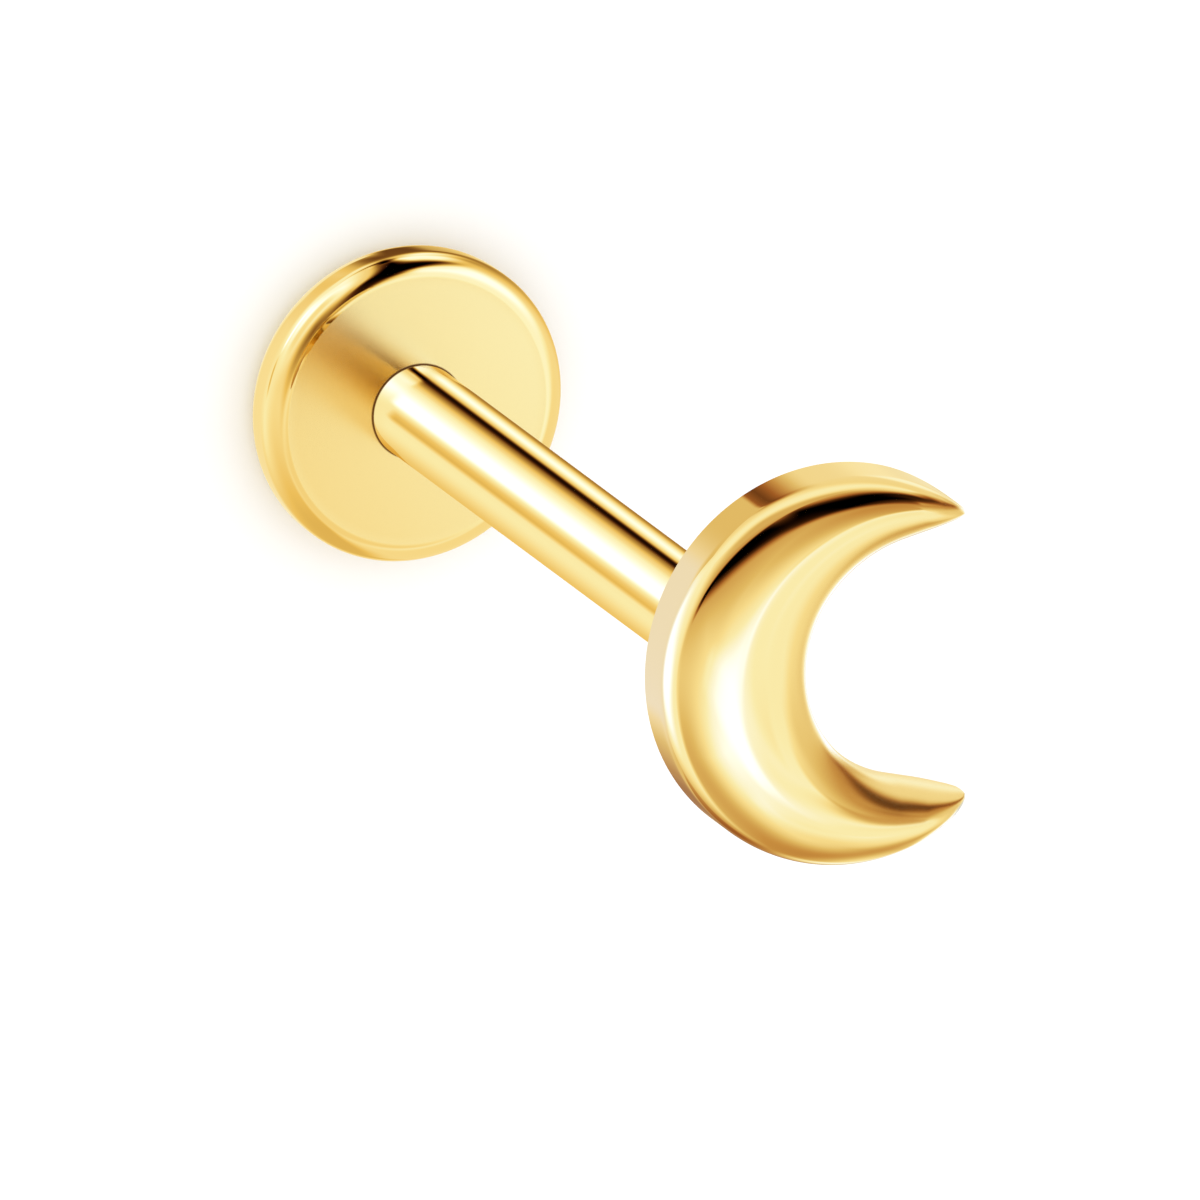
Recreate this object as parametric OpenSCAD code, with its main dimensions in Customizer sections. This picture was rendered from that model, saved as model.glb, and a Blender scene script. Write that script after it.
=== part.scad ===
// Labret stud with a flat back disc, a plain post and a crescent front.
// It stands on the disc: the origin is the centre of the disc's outer face,
// +Z runs up the post to the crescent, and the crescent's horns point along +X.
// All sizes are in millimetres.

/* [Back disc] */
// Diameter of the disc that lies inside the lip
disc_d = 4.0; // [3.5:0.1:6]
// Thickness of the disc
disc_t = 0.8; // [0.7:0.05:1.4]
// Rounding of the disc's edge on the side of the post
disc_front_round = 0.25; // [0.1:0.01:0.3]
// Rounding of the disc's edge on its outer face
disc_back_round = 0.35; // [0.1:0.01:0.38]

/* [Post] */
// Diameter of the post, 16 gauge
post_d = 1.2; // [1.1:0.05:1.6]
// Length of the post from the disc to its front end
post_length = 11.1; // [6:0.1:14]
// Chamfer round the post's front end
post_chamfer = 0.08; // [0.02:0.01:0.12]

/* [Joining pin] */
// Diameter of the plain pin that holds the crescent on the post
pin_d = 0.5; // [0.4:0.05:0.6]
// Length of the pin inside the post
pin_in_post = 2.6; // [1:0.1:4]
// Length of the pin inside the crescent
pin_in_crescent = 0.45; // [0.2:0.05:0.6]
// Chamfer round both ends of the pin
pin_chamfer = 0.05; // [0.02:0.01:0.1]
// Space left round the pin and beyond each of its ends
pin_clearance = 0.01; // [0.01:0.005:0.02]

/* [Crescent outline] */
// Size of the crescent's round outer side along the mirror line, were it closed
outline_deep = 4.88; // [4.6:0.02:6]
// Size of the crescent's round outer side across the mirror line
outline_tall = 5.0; // [4.6:0.02:6]
// Radius of the round middle of the hollow side
hollow_r = 1.62; // [1.4:0.01:1.65]
// Distance from the centre of the outer side to the centre of the hollow
hollow_offset = 1.145; // [1.1:0.005:1.25]
// Angle between the mirror line and each straight flank of the hollow
flank_angle = 14.5; // [8:0.5:22]
// Distance from the crescent's back edge to the axis of the post
post_inset = 1.52; // [1:0.01:1.55]
// Length left off the sharp point of each horn, so that it ends in a round nose
tip_cut = 0.085; // [0.05:0.005:0.2]
// Length over which each horn's width closes to its nose
tip_length = 0.12; // [0.08:0.02:0.5]
// Length over which each horn's thickness tapers to its nose
taper_length = 1.1; // [0.5:0.1:2]

/* [Crescent section] */
// Gap between the post's front end and the crescent's flat back
seat_gap = 0.02; // [0.01:0.01:0.05]
// Height of the crease that runs round the outer side, in the middle
crease_h = 0.84; // [0.8:0.01:1.2]
// How much higher the crease runs along the horns
crease_lift = 0.1; // [0:0.01:0.2]
// Distance of the crease from the outer side
crease_in = 0.105; // [0.04:0.005:0.12]
// Height of the shoulder that rounds the outer side in to the crease
shoulder_h = 0.32; // [0.1:0.01:0.5]
// How far the shoulder has turned in from upright where it meets the crease
shoulder_turn = 65; // [45:5:90]
// Height of the domed face above the crease, at the widest place
dome_rise = 0.27; // [0.1:0.01:0.4]
// Height at which the hollow side stands out furthest
hollow_side_h = 0.25; // [0.2:0.01:0.6]
// How far the hollow side draws in below that height, at the flat back
hollow_side_in = 0.08; // [0.02:0.01:0.1]
// Chamfer round the outer edge of the flat back
back_chamfer = 0.04; // [0.02:0.01:0.08]

/* [Hidden] */

gold = [0.93, 0.75, 0.38];

disc_r = disc_d / 2;
post_r = post_d / 2;
pin_r = pin_d / 2;
pin_bore_r = pin_r + pin_clearance;
post_end_z = disc_t + post_length;
crescent_back_z = post_end_z + seat_gap;

// Half sizes of the outer side, whose centre is the crescent's own origin
outer_rx = outline_deep / 2;
outer_ry = outline_tall / 2;
crescent_x = outer_rx - post_inset;
// Width of the crescent in its middle
body_width = outer_rx - (hollow_r - hollow_offset);

// Share of a section's width from the outer side to the highest line of the dome
peak_share = 0.46;
// How square the dome turns over to the hollow side: 2 is an ellipse
roll_power = 2.5;
// Most that the crease and the chamfer may take of the width of a narrow horn
edge_max_share = 0.2;
// Share of the crease's height at which the horns close
tip_height_share = 0.6;
// Share of the way to a tip by which the crease has its full lift
horn_share = 0.68;
// Share of each horn at which the last section stops, so that it keeps some width
end_share = 0.999;

// Number of sections from tip to tip, and of points along each curve of a section
stations = 56;
shoulder_steps = 5;
dome_steps = 5;
roll_steps = 9;
side_steps = 3;

// Where a flank leaves the round middle of the hollow
flank_start = [hollow_offset - hollow_r * sin(flank_angle), hollow_r * cos(flank_angle)];
flank_dir = [cos(flank_angle), sin(flank_angle)];

// How far along a flank it meets the outer side, found where the outline is a unit circle
unit_start = [flank_start[0] / outer_rx, flank_start[1] / outer_ry];
unit_dir = [flank_dir[0] / outer_rx, flank_dir[1] / outer_ry];
unit_along = unit_start * unit_dir;
unit_square = unit_dir * unit_dir;
flank_length = (sqrt(unit_along * unit_along - unit_square * (unit_start * unit_start - 1))
    - unit_along) / unit_square;
unit_tip = unit_start + flank_length * unit_dir;
tip_angle = atan2(unit_tip[1], unit_tip[0]);

hollow_arc = hollow_r * (90 - flank_angle) * PI / 180;
outer_arc = (outer_rx + outer_ry) / 2 * (180 - tip_angle) * PI / 180;
nose_share = 1 - tip_cut / outer_arc;

// Point of the outer side at a share of the way from the middle (0) to a tip (1)
function outer_point(share) =
    let (angle = 180 - share * (180 - tip_angle))
    [outer_rx * cos(angle), outer_ry * sin(angle)];

// Point of the hollow side at the same share
function hollow_point(share) =
    let (
        run = share * (hollow_arc + flank_length),
        angle = 180 - run / hollow_r * 180 / PI
    )
    run < hollow_arc
        ? [hollow_offset + hollow_r * cos(angle), hollow_r * sin(angle)]
        : flank_start + (run - hollow_arc) * flank_dir;

// How open a horn still is: 1 in the body, falling as an ellipse does over a length
function openness(share, length) =
    let (left = (nose_share - share) * outer_arc / length)
    left >= 1 ? 1 : sqrt(1 - (1 - left) * (1 - left));

// How far a share has come from the middle (0) to where the horns run furthest apart (1)
function horn_rise(share) = pow(sin(90 * min(share / horn_share, 1)), 2);

// Section for a width w, as points of [distance from the outer side, height] that run
// from the flat back's outer edge over the dome to the flat back's inner edge
function section(w, rise) =
    let (
        inset = min(crease_in, edge_max_share * w),
        crease_z = crease_h + crease_lift * rise,
        chamfer = min(back_chamfer, edge_max_share * w),
        draw_in = min(hollow_side_in, edge_max_share * w),
        peak = peak_share * w,
        peak_h = crease_z + dome_rise * w / body_width,
        power = 2 / roll_power
    )
    concat(
        [[chamfer, 0], [0, chamfer]],
        [for (i = [0:shoulder_steps])
            let (turn = shoulder_turn * i / shoulder_steps)
            [inset * (1 - cos(turn)) / (1 - cos(shoulder_turn)),
             crease_z - shoulder_h * (1 - sin(turn) / sin(shoulder_turn))]],
        [for (i = [1:dome_steps])
            let (along = i / dome_steps)
            [inset + (peak - inset) * along,
             crease_z + (peak_h - crease_z) * (1 - pow(1 - along, 2))]],
        [for (i = [1:roll_steps])
            let (turn = 90 * i / roll_steps)
            [peak + (w - peak) * pow(sin(turn), power),
             hollow_side_h + (peak_h - hollow_side_h) * pow(max(cos(turn), 0), power)]],
        [for (i = [1:side_steps])
            let (turn = 90 * i / side_steps)
            [w - draw_in * (1 - cos(turn)), hollow_side_h * (1 - sin(turn))]]
    );

// A section set in its place, for a signed share from one tip (-1) to the other (1)
function placed_section(share) =
    let (
        side = share < 0 ? -1 : 1,
        outer = outer_point(abs(share)),
        hollow = hollow_point(abs(share)),
        w = norm(hollow - outer),
        across = (hollow - outer) / w,
        middle = (outer + hollow) / 2,
        middle_h = crease_h * tip_height_share,
        k = openness(abs(share), tip_length),
        k_h = openness(abs(share), taper_length)
    )
    [for (p = section(w, horn_rise(abs(share))))
        let (flat = middle + k * (outer + p[0] * across - middle))
        [flat[0], side * flat[1], middle_h + k_h * (p[1] - middle_h)]];

// Flat back disc and post, turned as one piece, with the pin's bore in its front end
module back_disc_post() {
    color(gold)
    rotate_extrude($fn = 96)
    difference() {
        union() {
            difference() {
                square([disc_r, disc_t]);
                edge_cut(disc_r, disc_t, disc_front_round, 1);
                edge_cut(disc_r, 0, disc_back_round, -1);
            }
            polygon([
                [0, disc_t / 2],
                [post_r, disc_t / 2],
                [post_r, post_end_z - post_chamfer],
                [post_r - post_chamfer, post_end_z],
                [0, post_end_z]
            ]);
        }
        translate([-pin_bore_r, post_end_z - pin_in_post - pin_clearance])
            square([2 * pin_bore_r, 2 * pin_in_post]);
    }
}

// What rounds a square edge at radius x and height z, on its upper (1) or lower (-1) side
module edge_cut(x, z, r, up) {
    translate([x - r, z - up * r])
    difference() {
        translate([0, up > 0 ? 0 : -2 * r])
            square(2 * r);
        circle(r, $fn = 96);
    }
}

// Crescent with its domed face, and the pin's blind bore in its flat back
module crescent_top() {
    rings = [for (i = [0:stations])
        placed_section(sin(90 * (2 * i / stations - 1)) * nose_share * end_share)];
    color(gold)
    difference() {
        translate([crescent_x, 0, crescent_back_z])
            loft(rings);
        translate([0, 0, crescent_back_z - pin_in_crescent])
            cylinder(r = pin_bore_r, h = 2 * pin_in_crescent + pin_clearance, $fn = 64);
    }
}

// Closed solid through a list of rings that have the same number of points
module loft(rings) {
    count = len(rings[0]);
    last = len(rings) - 1;
    polyhedron(
        points = [for (ring = rings) each ring],
        faces = concat(
            [[for (j = [0:count - 1]) j]],
            [for (i = [0:last - 1], j = [0:count - 1])
                let (a = i * count + j, b = i * count + (j + 1) % count)
                each [[a, b + count, b], [a, a + count, b + count]]],
            [[for (j = [count - 1:-1:0]) last * count + j]]
        ),
        convexity = 6
    );
}

// Plain pin, hidden inside the post and the crescent
module joining_pin() {
    low = post_end_z - pin_in_post;
    high = crescent_back_z + pin_in_crescent;
    color(gold)
    rotate_extrude($fn = 64)
        polygon([
            [0, low],
            [pin_r - pin_chamfer, low],
            [pin_r, low + pin_chamfer],
            [pin_r, high - pin_chamfer],
            [pin_r - pin_chamfer, high],
            [0, high]
        ]);
}

back_disc_post();
crescent_top();
joining_pin();
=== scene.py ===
"""Labret stud: a flat back disc with its post, a domed crescent front and a hidden pin.

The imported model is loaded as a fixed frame. Each of its pieces is replaced by a finely
made one in the same place, with a mirror-polished gold finish. The stud stands on its
disc on a plain pale floor: +Z runs up the post, and the crescent's horns point along +X.
"""

import logging
import math
from dataclasses import dataclass
from enum import Enum
from functools import cache

import bmesh
import bpy
from mathutils import Matrix, Vector


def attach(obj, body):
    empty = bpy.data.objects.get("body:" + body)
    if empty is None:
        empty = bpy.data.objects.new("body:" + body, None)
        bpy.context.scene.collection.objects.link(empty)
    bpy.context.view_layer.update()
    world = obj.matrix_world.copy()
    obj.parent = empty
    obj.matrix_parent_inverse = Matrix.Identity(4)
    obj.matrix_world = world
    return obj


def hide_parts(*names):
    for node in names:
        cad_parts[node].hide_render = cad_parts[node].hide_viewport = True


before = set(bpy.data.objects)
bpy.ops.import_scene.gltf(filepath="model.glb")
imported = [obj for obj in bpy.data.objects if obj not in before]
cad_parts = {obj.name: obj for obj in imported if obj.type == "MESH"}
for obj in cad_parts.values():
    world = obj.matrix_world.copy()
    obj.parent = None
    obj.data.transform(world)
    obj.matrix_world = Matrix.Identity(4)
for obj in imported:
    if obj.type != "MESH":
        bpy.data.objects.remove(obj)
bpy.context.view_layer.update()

LOG = logging.getLogger("labret_stud")

MM = 0.001
BODY = "root"
# Doubles closer than this, in millimetres, are one vertex
MERGE_MM = 1e-5
# Edges that turn more than this stay crisp, in degrees
CRISP_DEG = 28.0

# Colour sockets of a Mix node, which carry the same names as its other sockets
MIX_FIRST, MIX_SECOND, MIX_RESULT = 6, 7, 2

ProfilePoint = tuple[float, float]
Triple = tuple[float, float, float]
Socket = bpy.types.NodeSocket
Sockets = bpy.types.bpy_prop_collection
Feed = Socket | float | tuple[float, ...]


def quarter(centre: ProfilePoint, radius: float, start_deg: float, end_deg: float,
            steps: int) -> list[ProfilePoint]:
    """Points along an arc of a profile.

    Args:
        centre: Middle of the arc, as (distance from the axis, height).
        radius: Radius of the arc.
        start_deg: Angle at which it starts, from the outward direction.
        end_deg: Angle at which it ends.
        steps: Number of straight pieces in it.

    Returns:
        The points from start to end, both ends among them.
    """
    turns = [math.radians(start_deg + (end_deg - start_deg) * i / steps)
             for i in range(steps + 1)]
    return [(centre[0] + radius * math.cos(t), centre[1] + radius * math.sin(t))
            for t in turns]


def mark_crisp_edges(mesh: bmesh.types.BMesh, crisp_deg: float = CRISP_DEG) -> None:
    """Shades every face smooth, and keeps the edges that turn sharply crisp.

    Args:
        mesh: The mesh to shade.
        crisp_deg: Least turn between two faces that keeps their edge crisp.
    """
    limit = math.radians(crisp_deg)
    for face in mesh.faces:
        face.smooth = True
    for edge in mesh.edges:
        edge.smooth = edge.calc_face_angle(0.0) < limit


def turned(profile: list[ProfilePoint], sides: int) -> bmesh.types.BMesh:
    """Turns a profile round the Z axis into a closed solid.

    Args:
        profile: Points as (distance from the axis, height), in millimetres; the first
            and the last lie on the axis.
        sides: Number of sides round the axis.

    Returns:
        The turned mesh, in millimetres.
    """
    mesh = bmesh.new()
    row = [mesh.verts.new((r, 0.0, z)) for r, z in profile]
    edges = [mesh.edges.new(pair) for pair in zip(row, row[1:])]
    bmesh.ops.spin(mesh, geom=row + edges, cent=(0, 0, 0), axis=(0, 0, 1),
                   angle=math.tau, steps=sides, use_merge=True)
    bmesh.ops.remove_doubles(mesh, verts=mesh.verts, dist=MERGE_MM)
    bmesh.ops.recalc_face_normals(mesh, faces=mesh.faces)
    return mesh


def object_of(name: str, mesh: bmesh.types.BMesh) -> bpy.types.Object:
    """Makes an object of a mesh and links it to the scene.

    Args:
        name: Name of the object and of its mesh.
        mesh: The mesh, which is freed.

    Returns:
        The new object.
    """
    data = bpy.data.meshes.new(name)
    mesh.to_mesh(data)
    mesh.free()
    made = bpy.data.objects.new(name, data)
    bpy.context.scene.collection.objects.link(made)
    return made


def finished_piece(name: str, mesh: bmesh.types.BMesh, material: bpy.types.Material,
                   node: str) -> bpy.types.Object:
    """Makes a piece of a mesh that was built in millimetres, and seats it on the body.

    Args:
        name: Plain name of the piece.
        mesh: The mesh, which is freed.
        material: The finish that it wears.
        node: Name of the CAD node that it stands for.

    Returns:
        The new piece, at the origin, unturned and unscaled.
    """
    bmesh.ops.scale(mesh, vec=(MM, MM, MM), verts=mesh.verts)
    piece = object_of(name, mesh)
    piece.data.materials.append(material)
    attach(piece, BODY)
    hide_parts(node)
    return piece


@dataclass
class DiscAndPost:
    """Flat back disc and post, turned as one piece. Sizes are in millimetres."""

    disc_radius: float = 2.0
    thickness: float = 0.8
    # Rounding of the edge on the side of the post, across and up
    rim_across: float = 0.28
    rim_up: float = 0.24
    back_round: float = 0.35
    # How much lower the lapped face lies at the rim than in its middle
    crown: float = 0.03
    post_radius: float = 0.6
    post_length: float = 11.1
    post_chamfer: float = 0.08
    bore_radius: float = 0.26
    bore_depth: float = 2.61
    sides: int = 288
    round_steps: int = 16
    rim_steps: int = 24
    face_steps: int = 10
    crisp_deg: float = 12.0
    # Narrow rings beside the roundings keep the flat faces flat under smooth shading
    support: float = 0.004

    @property
    def post_end(self) -> float:
        """Height of the post's front end."""
        return self.thickness + self.post_length

    @property
    def face_radius(self) -> float:
        """Radius at which the lapped face gives way to the rim's rounding."""
        return self.disc_radius - self.rim_across

    def profile(self) -> list[ProfilePoint]:
        """Draws half the section of the piece.

        Returns:
            Points from the middle of the outer face, round the disc and up to the bore.
        """
        back_flat, face_radius = self.disc_radius - self.back_round, self.face_radius
        rim_foot = self.thickness - self.crown - self.rim_up
        rim = [(face_radius + self.rim_across * x, rim_foot + self.rim_up * y)
               for x, y in quarter((0.0, 0.0), 1.0, 0, 90, self.rim_steps)]
        inner, foot = self.post_radius, self.thickness
        face = []
        for i in range(self.face_steps, -1, -1):
            radius = inner + (face_radius - inner) * i / self.face_steps
            face.append((radius, foot - self.crown * (radius / face_radius) ** 2))
        end, chamfer = self.post_end, self.post_chamfer
        return [
            (0.0, 0.0),
            (back_flat / 2, 0.0),
            (back_flat - self.support, 0.0),
            *quarter((back_flat, self.back_round), self.back_round, -90, 0, self.round_steps),
            *rim,
            (face_radius - self.support, face[0][1]),
            *face[1:],
            (self.post_radius, end - chamfer - self.support),
            (self.post_radius, end - chamfer),
            (self.post_radius - chamfer, end),
            (self.bore_radius, end),
            (self.bore_radius, end - self.bore_depth),
            (0.0, end - self.bore_depth),
        ]

    def build(self, material: bpy.types.Material) -> bpy.types.Object:
        """Turns the piece and seats it in place of its CAD node.

        Args:
            material: The turned finish.

        Returns:
            The finished piece.
        """
        mesh = turned(self.profile(), self.sides)
        mark_crisp_edges(mesh, self.crisp_deg)
        return finished_piece("disc_and_post", mesh, material, "back_disc_post")


@dataclass
class JoiningPin:
    """Plain pin, hidden in the post and the crescent. Sizes are in millimetres."""

    radius: float = 0.25
    chamfer: float = 0.05
    low: float = 9.3
    high: float = 12.37
    sides: int = 96

    def build(self, material: bpy.types.Material) -> bpy.types.Object:
        """Turns the pin and seats it in place of its CAD node.

        Args:
            material: The buffed finish.

        Returns:
            The finished pin.
        """
        mesh = turned([
            (0.0, self.low),
            (self.radius - self.chamfer, self.low),
            (self.radius, self.low + self.chamfer),
            (self.radius, self.high - self.chamfer),
            (self.radius - self.chamfer, self.high),
            (0.0, self.high),
        ], self.sides)
        mark_crisp_edges(mesh)
        return finished_piece("pin", mesh, material, "joining_pin")


@dataclass
class Crescent:
    """Domed crescent front. Sizes are in millimetres, angles in degrees.

    Its outline is an oval outer side and a hollow side, a round with two straight
    flanks. A section runs from the flat back's edge up the upright outer side, over a
    rounded bead to a crease, over the dome and down the rolled hollow side.
    """

    # The outline, seen along the post
    deep: float = 4.88
    tall: float = 5.0
    hollow_radius: float = 1.62
    hollow_offset: float = 1.145
    flank_angle: float = 14.5
    post_inset: float = 1.52
    tip_cut: float = 0.085
    tip_length: float = 0.12
    taper_length: float = 1.1
    # How high the flat back lies; the section's heights are from there
    back_height: float = 11.92
    crease_height: float = 0.84
    crease_lift: float = 0.1
    crease_in: float = 0.105
    shoulder_height: float = 0.32
    shoulder_turn: float = 65.0
    dome_rise: float = 0.27
    hollow_side_height: float = 0.25
    hollow_side_in: float = 0.08
    back_chamfer: float = 0.04
    peak_share: float = 0.46
    roll_power: float = 2.5
    edge_max_share: float = 0.2
    tip_height_share: float = 0.6
    horn_share: float = 0.68
    end_share: float = 0.9999
    bore_radius: float = 0.26
    bore_depth: float = 0.46
    bore_sides: int = 96
    # Where points of the flat back lie, as shares of the width
    back_outer: float = 0.3
    back_middle: float = 0.5
    back_inner: float = 0.7
    # Points close to the chamfer, as times its size, and to the hollow edge, as a distance,
    # keep the back flat under smooth shading
    chamfer_strip: float = 1.05
    edge_strip: float = 0.002
    stations: int = 420
    # Steps along each stretch of a section
    side_steps: int = 6
    shoulder_steps: int = 14
    dome_steps: int = 26
    roll_steps: int = 44
    draw_steps: int = 10

    def __post_init__(self) -> None:
        """Works out where the flanks meet the outer side."""
        self.rx, self.ry = self.deep / 2, self.tall / 2
        self.body_width = self.rx - (self.hollow_radius - self.hollow_offset)
        flank = math.radians(self.flank_angle)
        self.flank_dir = Vector((math.cos(flank), math.sin(flank)))
        self.flank_start = Vector((self.hollow_offset - self.hollow_radius * math.sin(flank),
                                   self.hollow_radius * math.cos(flank)))
        start = Vector((self.flank_start.x / self.rx, self.flank_start.y / self.ry))
        run = Vector((self.flank_dir.x / self.rx, self.flank_dir.y / self.ry))
        along, square = start.dot(run), run.dot(run)
        self.flank_length = (math.sqrt(along * along - square * (start.dot(start) - 1))
                             - along) / square
        tip = start + self.flank_length * run
        self.tip_turn = math.atan2(tip.y, tip.x)
        self.hollow_arc = self.hollow_radius * (math.pi / 2 - flank)
        self.outer_arc = (self.rx + self.ry) / 2 * (math.pi - self.tip_turn)
        self.nose_share = 1 - self.tip_cut / self.outer_arc

    def outer_point(self, share: float) -> Vector:
        """Point of the outer side, from its middle (0) to a tip (1)."""
        turn = math.pi - share * (math.pi - self.tip_turn)
        return Vector((self.rx * math.cos(turn), self.ry * math.sin(turn)))

    def hollow_point(self, share: float) -> Vector:
        """Point of the hollow side.

        Args:
            share: How far along it the point lies, from its middle (0) to a tip (1).

        Returns:
            The point, from the centre of the outer side.
        """
        run = share * (self.hollow_arc + self.flank_length)
        if run >= self.hollow_arc:
            return self.flank_start + (run - self.hollow_arc) * self.flank_dir
        turn = math.pi - run / self.hollow_radius
        return Vector((self.hollow_offset + self.hollow_radius * math.cos(turn),
                       self.hollow_radius * math.sin(turn)))

    def openness(self, share: float, length: float) -> float:
        """How open a horn still is: 1 in the body, closing as an ellipse over a length."""
        left = (self.nose_share - share) * self.outer_arc / length
        return 1.0 if left >= 1 else math.sqrt(1 - (1 - left) ** 2)

    def section(self, width: float, rise: float) -> list[ProfilePoint]:
        """Section of the crescent, from the back's middle round to the back's middle.

        Args:
            width: Distance between the outer and the hollow side.
            rise: How far along a horn the section is, from 0 to 1.

        Returns:
            Points as (distance from the outer side, height).
        """
        inset = min(self.crease_in, self.edge_max_share * width)
        crease = self.crease_height + self.crease_lift * rise
        chamfer = min(self.back_chamfer, self.edge_max_share * width)
        draw_in = min(self.hollow_side_in, self.edge_max_share * width)
        peak = self.peak_share * width
        top = crease + self.dome_rise * width / self.body_width
        power = 2 / self.roll_power
        low = self.hollow_side_height
        side_top = crease - self.shoulder_height
        points = [(width * self.back_middle, 0.0), (width * self.back_outer, 0.0),
                  (chamfer * self.chamfer_strip, 0.0), (chamfer, 0.0), (0.0, chamfer)]
        points += [(0.0, chamfer + (side_top - chamfer) * i / self.side_steps)
                   for i in range(1, self.side_steps)]
        end = math.radians(self.shoulder_turn)
        for i in range(self.shoulder_steps + 1):
            turn = end * i / self.shoulder_steps
            points.append((inset * (1 - math.cos(turn)) / (1 - math.cos(end)),
                           crease - self.shoulder_height * (1 - math.sin(turn) / math.sin(end))))
        for i in range(1, self.dome_steps + 1):
            along = i / self.dome_steps
            points.append((inset + (peak - inset) * along,
                           crease + (top - crease) * (1 - (1 - along) ** 2)))
        for i in range(1, self.roll_steps + 1):
            turn = math.pi / 2 * i / self.roll_steps
            points.append((peak + (width - peak) * math.sin(turn) ** power,
                           low + (top - low) * max(math.cos(turn), 0.0) ** power))
        for i in range(1, self.draw_steps + 1):
            turn = math.pi / 2 * i / self.draw_steps
            points.append((width - draw_in * (1 - math.cos(turn)), low * (1 - math.sin(turn))))
        points += [(width - draw_in - self.edge_strip, 0.0), (width * self.back_inner, 0.0),
                   (width * self.back_middle, 0.0)]
        return points

    def placed_section(self, share: float) -> list[Vector]:
        """Sets a section in its place.

        Args:
            share: How far along the crescent it stands, from one tip (-1) to the other (1).

        Returns:
            Its points, in millimetres from the row's origin.
        """
        side, part = (-1 if share < 0 else 1), abs(share)
        outer, hollow = self.outer_point(part), self.hollow_point(part)
        width = (hollow - outer).length
        across = (hollow - outer) / width
        middle = (outer + hollow) / 2
        middle_height = self.crease_height * self.tip_height_share
        narrow = self.openness(part, self.tip_length)
        thin = self.openness(part, self.taper_length)
        rise = math.sin(math.pi / 2 * min(part / self.horn_share, 1)) ** 2
        placed = []
        for along, height in self.section(width, rise):
            flat = middle + narrow * (outer + along * across - middle)
            placed.append(Vector((self.rx - self.post_inset + flat.x, side * flat.y,
                                  self.back_height + middle_height
                                  + thin * (height - middle_height))))
        return placed

    def body_mesh(self) -> bmesh.types.BMesh:
        """Wraps a grid round the sections, from tip to tip, and closes it.

        Returns:
            The closed mesh in millimetres, without the pin's bore.
        """
        rows = []
        for i in range(self.stations + 1):
            share = math.sin(math.pi / 2 * (2 * i / self.stations - 1))
            share *= self.nose_share * self.end_share
            rows.append(self.placed_section(share))
        last = len(rows[0]) - 1
        mesh = bmesh.new()
        # The grid runs from -1 to 1 both ways
        bmesh.ops.create_grid(mesh, x_segments=self.stations, y_segments=last, size=1.0)
        for vertex in mesh.verts:
            i = round((vertex.co.x + 1) / 2 * self.stations)
            j = round((vertex.co.y + 1) / 2 * last)
            vertex.co = rows[i][j]
        bmesh.ops.remove_doubles(mesh, verts=mesh.verts, dist=MERGE_MM)
        rim = [edge for edge in mesh.edges if edge.is_boundary]
        bmesh.ops.holes_fill(mesh, edges=rim, sides=0)
        bmesh.ops.recalc_face_normals(mesh, faces=mesh.faces)
        return mesh

    def bored(self, body: bmesh.types.BMesh) -> bmesh.types.BMesh:
        """Cuts the pin's blind bore into the flat back.

        Args:
            body: The closed mesh in millimetres, which is freed.

        Returns:
            A new mesh with the bore.
        """
        tool = bmesh.new()
        bmesh.ops.create_cone(tool, cap_ends=True, cap_tris=False, segments=self.bore_sides,
                              radius1=self.bore_radius, radius2=self.bore_radius,
                              depth=2 * self.bore_depth,
                              matrix=Matrix.Translation((0, 0, self.back_height)))
        cutter, solid = object_of("bore_tool", tool), object_of("crescent_body", body)
        drill = solid.modifiers.new("bore", "BOOLEAN")
        drill.operation, drill.solver, drill.object = "DIFFERENCE", "EXACT", cutter
        result = bmesh.new()
        result.from_object(solid, bpy.context.evaluated_depsgraph_get())
        for spent in (solid, cutter):
            data = spent.data
            bpy.data.objects.remove(spent)
            bpy.data.meshes.remove(data)
        return result

    def build(self, material: bpy.types.Material) -> bpy.types.Object:
        """Makes the crescent, cuts its bore and seats it in place of its CAD node.

        Args:
            material: The buffed finish.

        Returns:
            The finished piece.
        """
        mesh = self.bored(self.body_mesh())
        mark_crisp_edges(mesh)
        return finished_piece("crescent", mesh, material, "crescent_top")


# How polished gold shows each level of the studio's light, from black over brown, amber
# and gold to cream and white: (level, colour that the card gives off)
TONES: tuple[tuple[float, Triple], ...] = (
    (0.00, (0.00, 0.00, 0.00)),
    (0.10, (0.10, 0.03, 0.01)),
    (0.25, (0.30, 0.15, 0.04)),
    (0.40, (0.58, 0.38, 0.12)),
    (0.55, (0.91, 0.69, 0.27)),
    (0.70, (1.01, 0.94, 0.67)),
    (0.80, (1.04, 1.13, 1.08)),
    (0.90, (1.10, 1.28, 1.68)),
    (1.00, (1.30, 1.50, 2.70)),
)
# The same for the buffed crescent, whose half-tones are duller and redder
BUFFED_TONES: tuple[tuple[float, Triple], ...] = (
    (0.00, (0.00, 0.00, 0.00)),
    (0.10, (0.09, 0.03, 0.01)),
    (0.25, (0.38, 0.14, 0.04)),
    (0.40, (0.62, 0.36, 0.13)),
    (0.55, (0.81, 0.64, 0.31)),
    (0.70, (1.00, 0.94, 0.67)),
    (0.80, (1.03, 1.11, 1.07)),
    (0.90, (1.06, 1.24, 1.75)),
    (1.00, (1.30, 1.50, 2.70)),
)
# A ramp's colours stop at 1, so the tones are divided by their largest value
BRIGHTEST = 2.7


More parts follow.
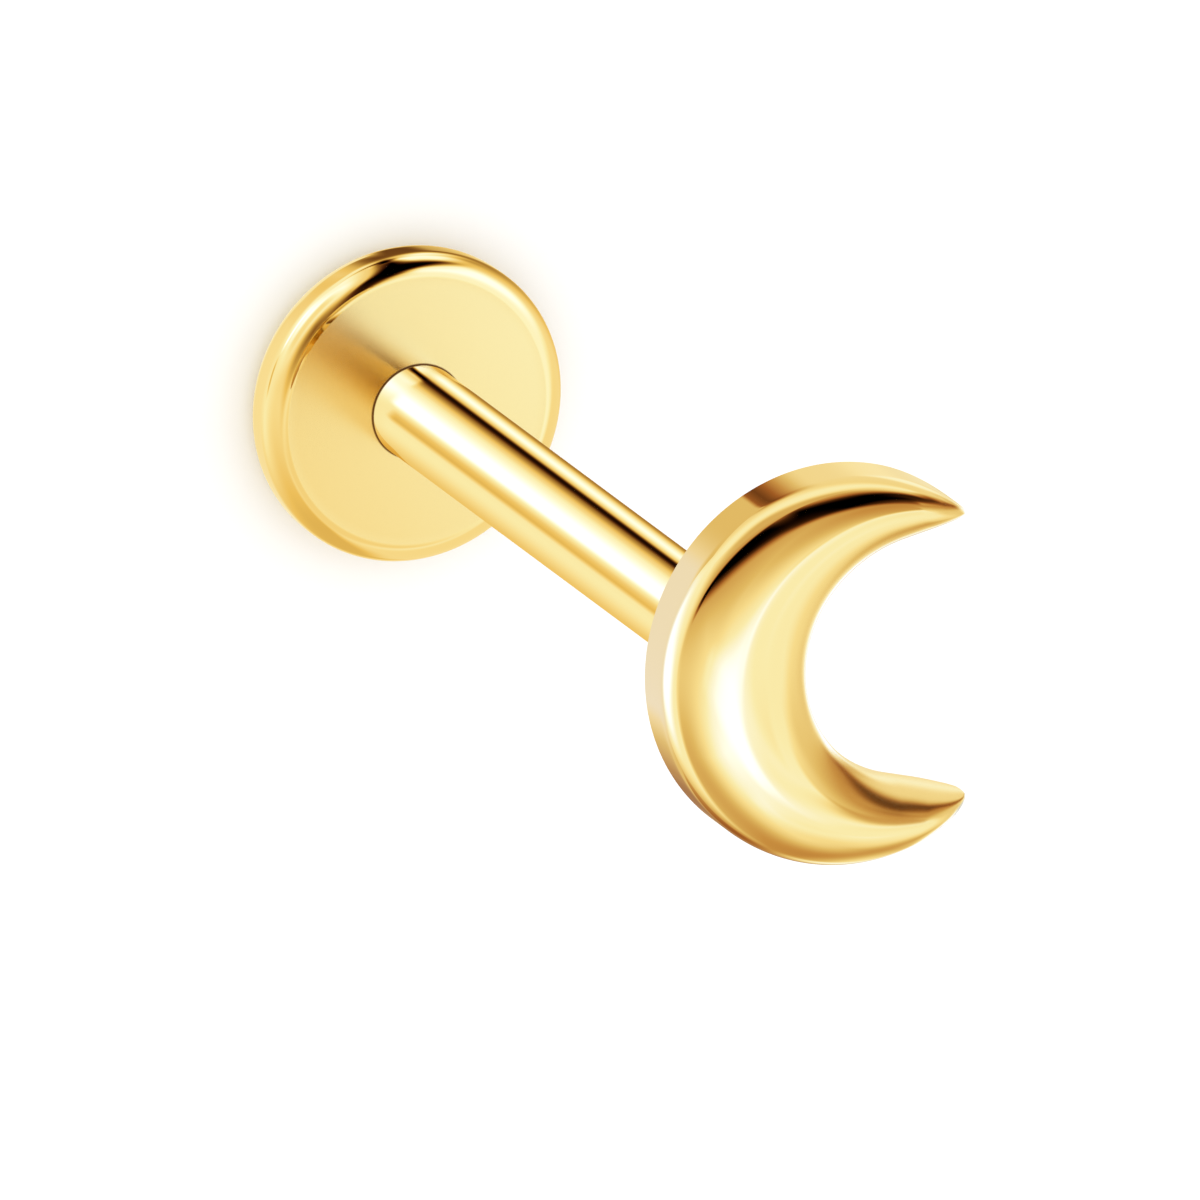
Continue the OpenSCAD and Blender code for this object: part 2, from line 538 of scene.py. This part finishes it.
@dataclass(frozen=True)
class SoftCard:
    """A card of the studio with soft edges, as the stud sees it. Angles in degrees.

    Its level is how light it is, from black (0) to white (1), as the tones give it.
    """

    azimuth: float
    elevation: float
    half_width: float
    half_height: float
    tilt: float
    soft: float
    level: float
    # Colour by which the card multiplies the light under it
    tint: Triple | None = None

    def axes(self) -> tuple[Vector, Vector, Vector]:
        """Works out how the card stands round the stud.

        Returns:
            Directions to the card's middle, along its width and along its height.
        """
        turn, lift = math.radians(self.azimuth), math.radians(self.elevation)
        middle = Vector((math.cos(lift) * math.cos(turn), math.cos(lift) * math.sin(turn),
                         math.sin(lift)))
        wide = Vector((-math.sin(turn), math.cos(turn), 0.0))
        high = middle.cross(wide)
        lean = math.radians(self.tilt)
        return (middle, wide * math.cos(lean) + high * math.sin(lean),
                high * math.cos(lean) - wide * math.sin(lean))


# The studio that the disc and its post mirror. A card is laid over those before it, and
# the notes say what it draws in the photograph's view
DISC_CARDS: tuple[SoftCard, ...] = (
    # The lower side of the post and the rim, dim
    SoftCard(-125, 30, 80, 70, 0, 18, 0.50),
    # The rim's left, lighter
    SoftCard(180, 20, 30, 110, -15, 40, 0.70),
    # White on the post and the rim
    SoftCard(120, 0, 32, 52, -22, 25, 0.98),
    # The post's lower side, lighter
    SoftCard(-165, -15, 30, 34, 60, 40, 0.80),
    # The rim's lower right and its bright right end
    SoftCard(-10, 10, 70, 58, -15, 6, 0.68),
    SoftCard(14, 50, 20, 25, 20, 15, 0.95),
    # The rim's dark stretch at the top
    SoftCard(62, -3, 20, 70, -5, 9, 0.00),
    SoftCard(70, 70, 7, 20, 33, 7, 0.00),
    # The post and the rim, dimmer
    SoftCard(58, -32, 45, 35, 25, 37, 0.23),
    # The glint at the rim's top, and more of the dark stretch
    SoftCard(82, 0, 38, 18, -14, 13, 0.90),
    SoftCard(78, 37, 9, 39, 12, 6, 0.00),
    # The darker line low on the post
    SoftCard(172, -17, 8, 5, 15, 5, 0.50),
    # The rim's dark inner edge at the left, and its top
    SoftCard(135, 80, 16, 8, 85, 20, 0.10),
    SoftCard(95, -8, 5, 72, 0, 10, 0.62),
    # White on the post's upper side
    SoftCard(65, -21, 11, 20, -72, 17, 1.00),
    # More of the rim's dark inner edge
    SoftCard(-27, 77, 6, 6, -30, 8, 0.00),
    # The post's dark band and the bright one beside it
    SoftCard(97, -22, 15, 7, 6, 3, 0.00),
    SoftCard(104, -27, 17, 12, 27, 6, 0.80),
    # The rim's left, lighter again
    SoftCard(76, -85, 18, 14, 70, 3, 0.73),
    # The post's white band, and more of its dark one
    SoftCard(143, -14, 12, 6, 8, 5, 1.00),
    SoftCard(84, -9, 5, 10, 0, 4, 0.00),
    SoftCard(83, -18, 7, 5, 12, 14, 0.00),
    # The face seen from the front; then its cream tone and its golden lower left
    SoftCard(137, 31, 19, 14, 0, 9, 0.70),
    SoftCard(-40, 62, 22, 17, 0, 11, 0.84),
    SoftCard(-66, 60, 11, 12, 0, 6, 0.64),
)

# The studio that the crescent mirrors, laid and noted in the same way
CRESCENT_CARDS: tuple[SoftCard, ...] = (
    # The dome and the upper horn, dim
    SoftCard(102, 65, 70, 52, -54, 33, 0.43),
    # The black band on the upper horn
    SoftCard(84, 48, 56, 10, 25, 6, 0.00),
    # White on the dome
    SoftCard(-139, 65, 14, 6, -4, 20, 1.00),
    # The hollow side and the bead
    SoftCard(-35, -10, 80, 42, 47, 6, 0.60),
    # The dark valley at the lower horn
    SoftCard(25, -9, 46, 10, 65, 9, 0.05),
    # The dome's amber lower edge
    SoftCard(-89, 25, 52, 15, -36, 15, 0.42),
    # The rolled edge of the hollow side
    SoftCard(73, -55, 21, 50, 62, 12, 0.66),
    # The bead at the top and at the left, and the dark lower edge
    SoftCard(106, 14, 17, 31, 40, 12, 0.50),
    SoftCard(-172, -38, 29, 21, 55, 15, 1.00),
    SoftCard(-86, -32, 16, 40, 13, 40, 0.00),
    # Light on the hollow edge
    SoftCard(-58, -28, 31, 17, -45, 17, 1.00),
    # Light on the dome and the lower horn
    SoftCard(-48, 54, 28, 11, 0, 3, 0.83),
    # More of the black band
    SoftCard(65, 47, 11, 25, -69, 5, 0.00),
    # More light on the dome and the lower horn
    SoftCard(-50, 31, 17, 44, 53, 18, 0.69),
    # More light on the hollow edge
    SoftCard(-16, -52, 30, 8, 46, 12, 1.00),
    # The valley, lighter beside it
    SoftCard(23, 27, 41, 8, 78, 12, 0.37),
    # The dome's long highlight
    SoftCard(-57, 65, 37, 5, -44, 3, 1.00),
    # More of the valley
    SoftCard(-62, -2, 5, 31, 13, 16, 0.40),
    # The dome beside its highlight, and the highlight's crisp edge
    SoftCard(-156, 73, 29, 6, -57, 23, 0.63),
    SoftCard(-50, 59, 17, 5, -12, 3, 0.66),
    # More light on the dome and the lower horn
    SoftCard(-30, 42, 19, 16, -30, 11, 0.79),
    # More of the highlight
    SoftCard(-96, 67, 8, 19, -55, 23, 1.00),
    SoftCard(-90, 69, 15, 6, 31, 24, 1.00),
    # The upright wall, its brown patch, its beige left and its lower brown
    SoftCard(0, -90, 36, 36, 0, 4, 0.66),
    SoftCard(90, -60, 6, 10, 0, 8, 0.12),
    SoftCard(-173, -72, 36, 18, 0, 1, 0.55),
    SoftCard(-170, -61, 25, 13, 0, 7, 0.77, (0.90, 0.88, 1.15)),
    SoftCard(-66, -62, 12, 14, 0, 10, 0.33, (0.80, 0.85, 1.25)),
    # The lower horn's inner wall
    SoftCard(22, -53, 8, 7, 0, 5, 0.80),
)


class Wiring:
    """Places and links the nodes of one shader tree."""

    def __init__(self, tree: bpy.types.NodeTree) -> None:
        """Starts wiring a tree."""
        self.tree = tree

    def put(self, kind: str, **settings: str | float | bool) -> bpy.types.Node:
        """Places a node.

        Args:
            kind: Kind of node, without the words that all kinds start with.
            settings: Value for each of its settings that is changed.

        Returns:
            The node.
        """
        node = self.tree.nodes.new("ShaderNode" + kind)
        for name, value in settings.items():
            setattr(node, name, value)
        return node

    def feed(self, socket: Socket, value: Feed) -> None:
        """Links a socket to another, or sets its value.

        Args:
            socket: The input that is fed.
            value: What feeds it.
        """
        if isinstance(value, Socket):
            self.tree.links.new(value, socket)
        else:
            socket.default_value = value

    def maths(self, operation: str, *values: Feed) -> Socket:
        """Places one step of arithmetic.

        Args:
            operation: Name of the operation.
            values: What it works on, in order.

        Returns:
            Its result.
        """
        node = self.put("Math", operation=operation)
        for socket, value in zip(node.inputs, values):
            self.feed(socket, value)
        return node.outputs[0]

    def fade(self, value: Feed, start: Feed, end: Feed, first: float = 0.0,
             last: float = 1.0) -> Socket:
        """Changes smoothly from a first to a last value between two limits.

        Args:
            value: What is compared with the limits.
            start: Limit up to which the first value holds.
            end: Limit from which the last value holds.
            first: The first value.
            last: The last value.

        Returns:
            The changing value.
        """
        node = self.put("MapRange", interpolation_type="SMOOTHSTEP")
        for name, given in (("Value", value), ("From Min", start), ("From Max", end),
                            ("To Min", first), ("To Max", last)):
            self.feed(node.inputs[name], given)
        return node.outputs["Result"]

    def vector(self, operation: str, *values: Feed) -> Socket:
        """Places one step of arithmetic with vectors.

        Args:
            operation: Name of the operation.
            values: The vectors that it works on, in order.

        Returns:
            Its result, which is a number for a length or a dot product.
        """
        node = self.put("VectorMath", operation=operation)
        for socket, value in zip(node.inputs, values):
            self.feed(socket, value)
        gives_number = operation in ("LENGTH", "DOT_PRODUCT")
        return node.outputs["Value" if gives_number else "Vector"]

    def parts(self, vector: Socket) -> Sockets:
        """Splits a vector.

        Args:
            vector: The vector.

        Returns:
            Its parts X, Y and Z.
        """
        node = self.put("SeparateXYZ")
        self.feed(node.inputs["Vector"], vector)
        return node.outputs

    def noise(self, vector: Socket, scale: float,
              detail: float) -> Socket:
        """Places smooth noise.

        Args:
            vector: Where it is read.
            scale: How fine it is.
            detail: How many finer layers lie on it.

        Returns:
            Its value, from 0 to 1.
        """
        node = self.put("TexNoise")
        for name, given in (("Vector", vector), ("Scale", scale), ("Detail", detail)):
            self.feed(node.inputs[name], given)
        return node.outputs["Fac"]

    def mixed(self, share: Socket, first: Feed, second: Feed,
              blend: str = "MIX") -> Socket:
        """Mixes two colours.

        Args:
            share: Share of the second colour.
            first: The first colour.
            second: The second colour.
            blend: Name of the way in which they blend.

        Returns:
            The mixed colour.
        """
        node = self.put("Mix", data_type="RGBA", blend_type=blend)
        self.feed(node.inputs["Factor"], share)
        self.feed(node.inputs[MIX_FIRST], first)
        self.feed(node.inputs[MIX_SECOND], second)
        return node.outputs[MIX_RESULT]

    def leant(self, normal: Socket, axis: str,
              amount: Socket) -> Socket:
        """Leans a normal along an axis.

        Args:
            normal: The normal.
            axis: Name of the axis.
            amount: How far it leans, as a share of its length.

        Returns:
            The leant normal.
        """
        lean = self.put("CombineXYZ")
        self.feed(lean.inputs[axis], amount)
        return self.vector("NORMALIZE", self.vector("ADD", normal, lean.outputs["Vector"]))

    def use(self, group: bpy.types.NodeTree, **values: Feed) -> bpy.types.Node:
        """Places a node group.

        Args:
            group: The group.
            values: What feeds each of its inputs.

        Returns:
            The node of the group.
        """
        node = self.put("Group")
        node.node_tree = group
        for name, value in values.items():
            self.feed(node.inputs[name], value)
        return node


def new_group(name: str, outputs: tuple[str, ...], vectors: tuple[str, ...] = ("Vector",),
              numbers: tuple[str, ...] = ()) -> tuple[Wiring, Sockets, Sockets]:
    """Starts a shader group.

    Args:
        name: Name of the group.
        outputs: Names of the numbers that it puts out.
        vectors: Names of the vectors that come into it.
        numbers: Names of the numbers that come into it.

    Returns:
        The wiring of the group, what comes into it and what it is to put out.
    """
    tree = bpy.data.node_groups.new(name, "ShaderNodeTree")
    for side, kind, titles in (("INPUT", "Vector", vectors), ("INPUT", "Float", numbers),
                               ("OUTPUT", "Float", outputs)):
        for title in titles:
            tree.interface.new_socket(title, in_out=side, socket_type="NodeSocket" + kind)
    given, made = tree.nodes.new("NodeGroupInput"), tree.nodes.new("NodeGroupOutput")
    return Wiring(tree), given.outputs, made.inputs


# Turn and stretch of each layer of swirls, which is noise drawn out along one axis
SWIRLS: tuple[tuple[Triple, Triple], ...] = (
    ((0.3, 0.2, 0.7), (2.0, 60.0, 60.0)),
    ((0.9, 0.5, 2.1), (60.0, 2.5, 60.0)),
)
# Values of the noise between which a swirl or a cloud comes up
SWIRL_LIMITS = (0.66, 0.74)
CLOUD_LIMITS = (0.35, 0.7)
# How strong a swirl is beside a cloud
SWIRL_STRENGTH = 0.8


@cache
def polish_marks_group() -> bpy.types.NodeTree:
    """Shader group with the faint marks of polishing, built once.

    Its haze is where the polish is a little duller: soft clouds, crossed by hair-fine
    swirls of the buffing wheel. Its ripple is the slight waviness of a buffed surface.

    Returns:
        The group, whose vector is in millimetres.
    """
    wires, given, made = new_group("polish_marks", ("Haze", "Ripple"))
    vector = given["Vector"]
    swirls = []
    for turn, stretch in SWIRLS:
        lay = wires.put("Mapping")
        for title, value in (("Vector", vector), ("Rotation", turn), ("Scale", stretch)):
            wires.feed(lay.inputs[title], value)
        hair = wires.noise(lay.outputs["Vector"], scale=1.0, detail=1.0)
        swirls.append(wires.fade(hair, *SWIRL_LIMITS))
    lines = wires.maths("MULTIPLY", wires.maths("MAXIMUM", *swirls), SWIRL_STRENGTH)
    clouds = wires.fade(wires.noise(vector, scale=0.9, detail=3.0), *CLOUD_LIMITS)
    wires.feed(made["Haze"], wires.maths("MAXIMUM", clouds, lines))
    wires.feed(made["Ripple"], wires.noise(vector, scale=1.3, detail=1.0))
    return wires.tree


@cache
def turned_zones_group() -> bpy.types.NodeTree:
    """Shader group that tells the zones of the turned piece apart, built once.

    Its masks are the lapped face round the post, the post itself, how low a point of it
    lies, and the thin line in the corner at the post's foot, whose darker colour is
    painted shade and whose metal is rougher. Its rings are the faint marks of the lathe.

    Returns:
        The group, whose vector is in millimetres.
    """
    wires, given, made = new_group("turned_zones", ("Face", "Post", "Low", "Foot", "Rings"))
    shape = DiscAndPost()
    post, top = shape.post_radius, shape.thickness
    # Between which distances from the axis the post ends, and the face
    post_side = (post + 0.0005, post + 0.003)
    face_side = (shape.face_radius - 0.008, shape.face_radius + 0.004)
    # Between which heights the face begins, the post begins and its foot ends
    face_low = (top - shape.crown - 0.03, top - shape.crown - 0.02)
    post_low = (top + 0.001, top + 0.006)
    foot_high = (top, top + 0.7)
    # Between which distances from the corner the thin line ends
    line_side = (0.012, 0.034)
    radius = wires.vector("LENGTH", wires.vector("MULTIPLY", given["Vector"],
                                                 (1.0, 1.0, 0.0)))
    height = wires.parts(given["Vector"])["Z"]
    face = wires.maths("MULTIPLY", wires.fade(radius, *post_side), wires.fade(height, *face_low))
    inside = wires.fade(radius, *face_side, 1.0, 0.0)
    wires.feed(made["Face"], wires.maths("MULTIPLY", face, inside))
    shaft = wires.maths("MULTIPLY", wires.fade(radius, *post_side, 1.0, 0.0),
                        wires.fade(height, *post_low))
    wires.feed(made["Post"], shaft)
    wires.feed(made["Low"], wires.fade(height, *foot_high, 1.0, 0.0))
    # The thin line in the corner at the post's foot: the mask for its painted shade and its
    # rougher metal
    corner = wires.maths("ADD", *(wires.maths("ABSOLUTE", wires.maths("SUBTRACT", place, at))
                                  for place, at in ((radius, post), (height, top))))
    wires.feed(made["Foot"], wires.fade(corner, *line_side, 1.0, 0.0))
    # The rings are noise along the radius alone
    along = wires.put("CombineXYZ")
    wires.feed(along.inputs["X"], radius)
    rings = wires.noise(along.outputs["Vector"], scale=22.0, detail=3.0)
    wires.feed(made["Rings"], rings)
    return wires.tree


@cache
def hollow_side_group() -> bpy.types.NodeTree:
    """Shader group that tells how near a point is to the crescent's hollow side, built once.

    Near is the strip along that side, where a buffing wheel hardly reaches, so that it is
    a little duller than the rest. Horn is the rolled edge of the lower horn.

    Returns:
        The group, whose vector is in millimetres.
    """
    wires, given, made = new_group("hollow_side", ("Near", "Horn"))
    shape = Crescent()
    lean = math.radians(shape.flank_angle)
    # Distances from the hollow side between which the dull strip ends, and between which
    # the rolled edge begins and ends
    strip_end = (0.3, 0.6)
    roll_start, roll_end = (0.0, 0.12), (0.15, 0.38)
    # Where the lower horn begins, down and across from the centre of the hollow
    horn_down, horn_across = (-1.5, -0.9), (-1.2, -0.2)
    # Half the length over which the round middle gives way to a flank
    blend = 0.05
    place = wires.vector("SUBTRACT", given["Vector"],
                         (shape.rx - shape.post_inset + shape.hollow_offset, 0.0, 0.0))
    reach = wires.vector("LENGTH", wires.vector("MULTIPLY", place, (1.0, 1.0, 0.0)))
    around = wires.maths("SUBTRACT", reach, shape.hollow_radius)
    axes, sides = wires.parts(place), wires.parts(wires.vector("ABSOLUTE", place))
    # Distance from the straight flank, which touches the round middle
    beside = wires.maths("MULTIPLY_ADD", sides["Y"], math.cos(lean), -shape.hollow_radius)
    beside = wires.maths("MULTIPLY_ADD", axes["X"], -math.sin(lean), beside)
    start = -shape.hollow_radius * math.sin(lean)
    on_flank = wires.fade(axes["X"], start - blend, start + blend)
    apart = wires.maths("MULTIPLY_ADD", on_flank,
                        wires.maths("SUBTRACT", beside, around), around)
    wires.feed(made["Near"], wires.fade(apart, *strip_end, 1.0, 0.0))
    along = wires.maths("MULTIPLY", wires.fade(axes["Y"], *horn_down, 1.0, 0.0),
                        wires.fade(axes["X"], *horn_across))
    band = wires.maths("MULTIPLY", wires.fade(apart, *roll_start),
                       wires.fade(apart, *roll_end, 1.0, 0.0))
    wires.feed(made["Horn"], wires.maths("MULTIPLY", band, along))
    return wires.tree


class Polish(Enum):
    """How a gold piece was finished."""

    BUFFED = "buffed"
    TURNED = "turned"


@dataclass(frozen=True)
class GoldFinish:
    """Mirror-bright gold with the faint marks that its polishing left."""

    name: str
    polish: Polish
    colour: Triple = (0.93, 0.75, 0.38)
    # Painted shade: the dark base colour of the thin line in the corner at the post's foot
    corner_shade_colour: Triple = (0.30, 0.15, 0.05)
    # Roughness of the bright metal, and what each of these places adds to it: the haze,
    # the lapped face and its rings, the corner at the foot, the strip by the hollow side
    gloss: float = 0.02
    haze: float = 0.02
    satin: float = 0.17
    ring_rough: float = 0.03
    corner_rough: float = 0.45
    hollow_rough: float = 0.15
    # How far the post's shading leans up the post, how much further at its foot, and how
    # far the lower horn's rolled edge leans along +X: it moves what they mirror to where
    # the photograph has it
    lean: float = 0.45
    foot_lean: float = 0.2
    horn_lean: float = 0.32
    ripple_depth: float = 0.0004 * MM

    def material(self) -> bpy.types.Material:
        """Builds the gold shader.

        Returns:
            A plain buffed gold, or a turned one with its zones.
        """
        gold = bpy.data.materials.new(self.name)
        gold.use_nodes = True
        wires = Wiring(gold.node_tree)
        shader = gold.node_tree.nodes["Principled BSDF"]
        shader.inputs["Metallic"].default_value = 1.0
        shader.inputs["Base Color"].default_value = (*self.colour, 1.0)
        place = wires.put("TexCoord").outputs["Object"]
        in_mm = wires.vector("MULTIPLY", place, (1 / MM, 1 / MM, 1 / MM))
        marks = wires.use(polish_marks_group(), Vector=in_mm)
        rough = wires.maths("MULTIPLY_ADD", marks.outputs["Haze"], self.haze, self.gloss)
        bump = wires.put("Bump")
        bump.inputs["Distance"].default_value = self.ripple_depth
        wires.feed(bump.inputs["Height"], marks.outputs["Ripple"])
        normal = bump.outputs["Normal"]
        if self.polish is Polish.TURNED:
            zones = wires.use(turned_zones_group(), Vector=in_mm).outputs
            rough = self.zoned_roughness(wires, zones, rough)
            lean = wires.maths("MULTIPLY_ADD", zones["Low"], self.foot_lean, self.lean)
            normal = wires.leant(normal, "Z", wires.maths("MULTIPLY", zones["Post"], lean))
            # Painted shade: the base colour darkens along the thin line in the corner at the
            # post's foot
            tint = wires.mixed(zones["Foot"], (*self.colour, 1.0), (*self.corner_shade_colour, 1.0))
            wires.feed(shader.inputs["Base Color"], tint)
        else:
            edge = wires.use(hollow_side_group(), Vector=in_mm).outputs
            rough = wires.maths("MULTIPLY_ADD", edge["Near"], self.hollow_rough, rough)
            lean = wires.maths("MULTIPLY", edge["Horn"], self.horn_lean)
            normal = wires.leant(normal, "X", lean)
        wires.feed(shader.inputs["Roughness"], rough)
        wires.feed(shader.inputs["Normal"], normal)
        return gold

    def zoned_roughness(self, wires: Wiring, zones: Sockets,
                        rough: Socket) -> Socket:
        """Adds the satin of the face and the dullness of the corner at the post's foot.

        Args:
            wires: Wiring of the material.
            zones: Outputs of the group that tells the zones apart.
            rough: Roughness of the bright metal.

        Returns:
            The roughness of the turned piece.
        """
        lapped = wires.maths("MULTIPLY_ADD", zones["Rings"], self.ring_rough, self.satin)
        rough = wires.maths("ADD", rough, wires.maths("MULTIPLY", zones["Face"], lapped))
        return wires.maths("MULTIPLY_ADD", zones["Foot"], self.corner_rough, rough)


@cache
def soft_card_group() -> bpy.types.NodeTree:
    """Shader group that lays one soft card over a level of light, built once.

    Returns:
        The group, which puts out the new level and where the card lies.
    """
    axes = ("Middle", "Wide", "High")
    wires, given, made = new_group("soft_card", ("Level", "Mask"), ("Direction", *axes),
                                   ("Half Width", "Half Height", "Soft", "Card Level", "Level"))
    ahead, wide, high = (wires.vector("DOT_PRODUCT", given["Direction"], given[axis])
                         for axis in axes)
    masks = []
    for share, half in ((wide, given["Half Width"]), (high, given["Half Height"])):
        angle = wires.maths("ABSOLUTE", wires.maths("ARCTAN2", share, ahead))
        masks.append(wires.fade(angle, wires.maths("SUBTRACT", half, given["Soft"]),
                                wires.maths("ADD", half, given["Soft"]), 1.0, 0.0))
    mask = wires.maths("MULTIPLY", *masks)
    change = wires.maths("SUBTRACT", given["Card Level"], given["Level"])
    wires.feed(made["Mask"], mask)
    wires.feed(made["Level"], wires.maths("MULTIPLY_ADD", mask, change, given["Level"]))
    return wires.tree


@dataclass(frozen=True)
class LightDome:
    """The studio as one piece sees it: a base level with soft cards laid over it.

    The dome is far larger than the stud, lights only what it is linked to, and shows in
    nothing but its reflections.
    """

    name: str
    base: float
    cards: tuple[SoftCard, ...]
    tones: tuple[tuple[float, Triple], ...] = TONES
    # In metres
    radius: float = 0.5
    subdivisions: int = 4

    def material(self) -> bpy.types.Material:
        """Builds the glow of the dome.

        Returns:
            The material, which lets the light of a dome behind it through.
        """
        glow = bpy.data.materials.new(self.name + "_glow")
        glow.use_nodes = True
        wires = Wiring(glow.node_tree)
        glow.node_tree.nodes.clear()
        unit = wires.vector("NORMALIZE", wires.put("TexCoord").outputs["Object"])
        light: Feed = self.base
        tints = []
        for card in self.cards:
            group = wires.use(soft_card_group(), Direction=unit, Level=light)
            for title, axis in zip(("Middle", "Wide", "High"), card.axes()):
                group.inputs[title].default_value = axis
            for title, angle in (("Half Width", card.half_width),
                                 ("Half Height", card.half_height), ("Soft", card.soft)):
                group.inputs[title].default_value = math.radians(angle)
            group.inputs["Card Level"].default_value = card.level
            light = group.outputs["Level"]
            if card.tint is not None:
                tints.append((group.outputs["Mask"], card.tint))
        tone = wires.put("ValToRGB")
        ramp = tone.color_ramp
        # A new ramp has two stops
        for number, (at, colour) in enumerate(self.tones):
            stop = ramp.elements[number] if number < 2 else ramp.elements.new(at)
            stop.position = at
            stop.color = (*(channel / BRIGHTEST for channel in colour), 1.0)
        wires.feed(tone.inputs["Fac"], light)
        colour = tone.outputs["Color"]
        for mask, tint in tints:
            colour = wires.mixed(mask, colour, (*tint, 1.0), "MULTIPLY")
        shine = wires.put("Emission")
        shine.inputs["Strength"].default_value = BRIGHTEST
        wires.feed(shine.inputs["Color"], colour)
        clear = wires.put("BsdfTransparent")
        both = wires.put("AddShader")
        for socket, part in zip(both.inputs, (shine, clear)):
            wires.feed(socket, part.outputs[0])
        end = wires.put("OutputMaterial")
        wires.feed(end.inputs["Surface"], both.outputs["Shader"])
        glow.cycles.emission_sampling = "NONE"
        return glow

    def hang(self, lit: tuple[bpy.types.Object, ...]) -> None:
        """Hangs the dome round the stud.

        Args:
            lit: The pieces that it lights.
        """
        mesh = bmesh.new()
        bmesh.ops.create_icosphere(mesh, subdivisions=self.subdivisions, radius=self.radius)
        dome = object_of(self.name, mesh)
        dome.data.materials.append(self.material())
        dome.visible_camera = dome.visible_diffuse = dome.visible_shadow = False
        dome.visible_transmission = dome.visible_volume_scatter = False
        group = bpy.data.collections.new(self.name + "_lit")
        for piece in lit:
            group.objects.link(piece)
        dome.light_linking.receiver_collection = group


@dataclass
class Studio:
    """Pale floor, soft light and the photograph's camera. Lengths are in metres."""

    frame_width: float = 14.846 * MM
    # The camera's axes in the row's frame; back runs from the stud to the camera
    right: Triple = (0.926, 0.0, 0.3774)
    up: Triple = (0.1141, 0.9532, -0.2799)
    back: Triple = (-0.3598, 0.3022, 0.8827)
    # Place of the frame's middle, from the row's origin
    middle_right: float = 2.555 * MM
    middle_up: float = -2.551 * MM
    distance: float = 0.12
    clip_near: float = 0.001
    clip_far: float = 10.0
    floor_half_width: float = 1.0
    floor_shade: float = 0.9
    daylight: float = 1.3

    def add_camera(self) -> None:
        """Sets up the parallel view of the photograph."""
        right, up, back = Vector(self.right), Vector(self.up), Vector(self.back)
        data = bpy.data.cameras.new("photo_view")
        data.type = "ORTHO"
        data.ortho_scale = self.frame_width
        data.clip_start, data.clip_end = self.clip_near, self.clip_far
        camera = bpy.data.objects.new("photo_view", data)
        bpy.context.scene.collection.objects.link(camera)
        turn = Matrix((right, up, back)).transposed().to_4x4()
        place = right * self.middle_right + up * self.middle_up + back * self.distance
        camera.matrix_world = Matrix.Translation(place) @ turn
        bpy.context.scene.camera = camera

    def add_floor(self) -> None:
        """Lays the plain pale floor that the stud stands on."""
        mesh = bmesh.new()
        bmesh.ops.create_grid(mesh, x_segments=1, y_segments=1, size=self.floor_half_width)
        floor = object_of("floor", mesh)
        floor.visible_glossy = False
        paint = bpy.data.materials.new("pale_floor")
        paint.use_nodes = True
        surface = paint.node_tree.nodes["Principled BSDF"]
        shade = self.floor_shade
        surface.inputs["Base Color"].default_value = (shade, shade, shade, 1.0)
        surface.inputs["Roughness"].default_value = 1.0
        surface.inputs["Specular IOR Level"].default_value = 0.0
        floor.data.materials.append(paint)

    def add_daylight(self) -> None:
        """Adds even white light from all round, which the mirror-like pieces don't show."""
        world = bpy.data.worlds.new("daylight")
        bpy.context.scene.world = world
        world.use_nodes = True
        sky = world.node_tree.nodes["Background"]
        sky.inputs["Color"].default_value = (1.0, 1.0, 1.0, 1.0)
        sky.inputs["Strength"].default_value = self.daylight
        world.cycles_visibility.glossy = False
        bpy.context.scene.view_settings.view_transform = "Standard"


def main() -> None:
    """Builds the studio and every piece."""
    logging.basicConfig(level=logging.INFO, format="%(message)s")
    studio = Studio()
    studio.add_camera()
    studio.add_floor()
    studio.add_daylight()
    buffed = GoldFinish("buffed_gold", Polish.BUFFED).material()
    turned_gold = GoldFinish("turned_gold", Polish.TURNED).material()
    made: dict[str, bpy.types.Object] = {}
    for maker, gold in ((DiscAndPost(), turned_gold), (Crescent(), buffed),
                        (JoiningPin(), buffed)):
        piece = maker.build(gold)
        LOG.info("%s: %d faces", piece.name, len(piece.data.polygons))
        made[piece.name] = piece
    LightDome("disc_studio", base=0.68, cards=DISC_CARDS).hang((made["disc_and_post"],))
    LightDome("crescent_studio", base=0.80, cards=CRESCENT_CARDS, tones=BUFFED_TONES,
              radius=0.6).hang((made["crescent"], made["pin"]))


if __name__ == "__main__":
    main()
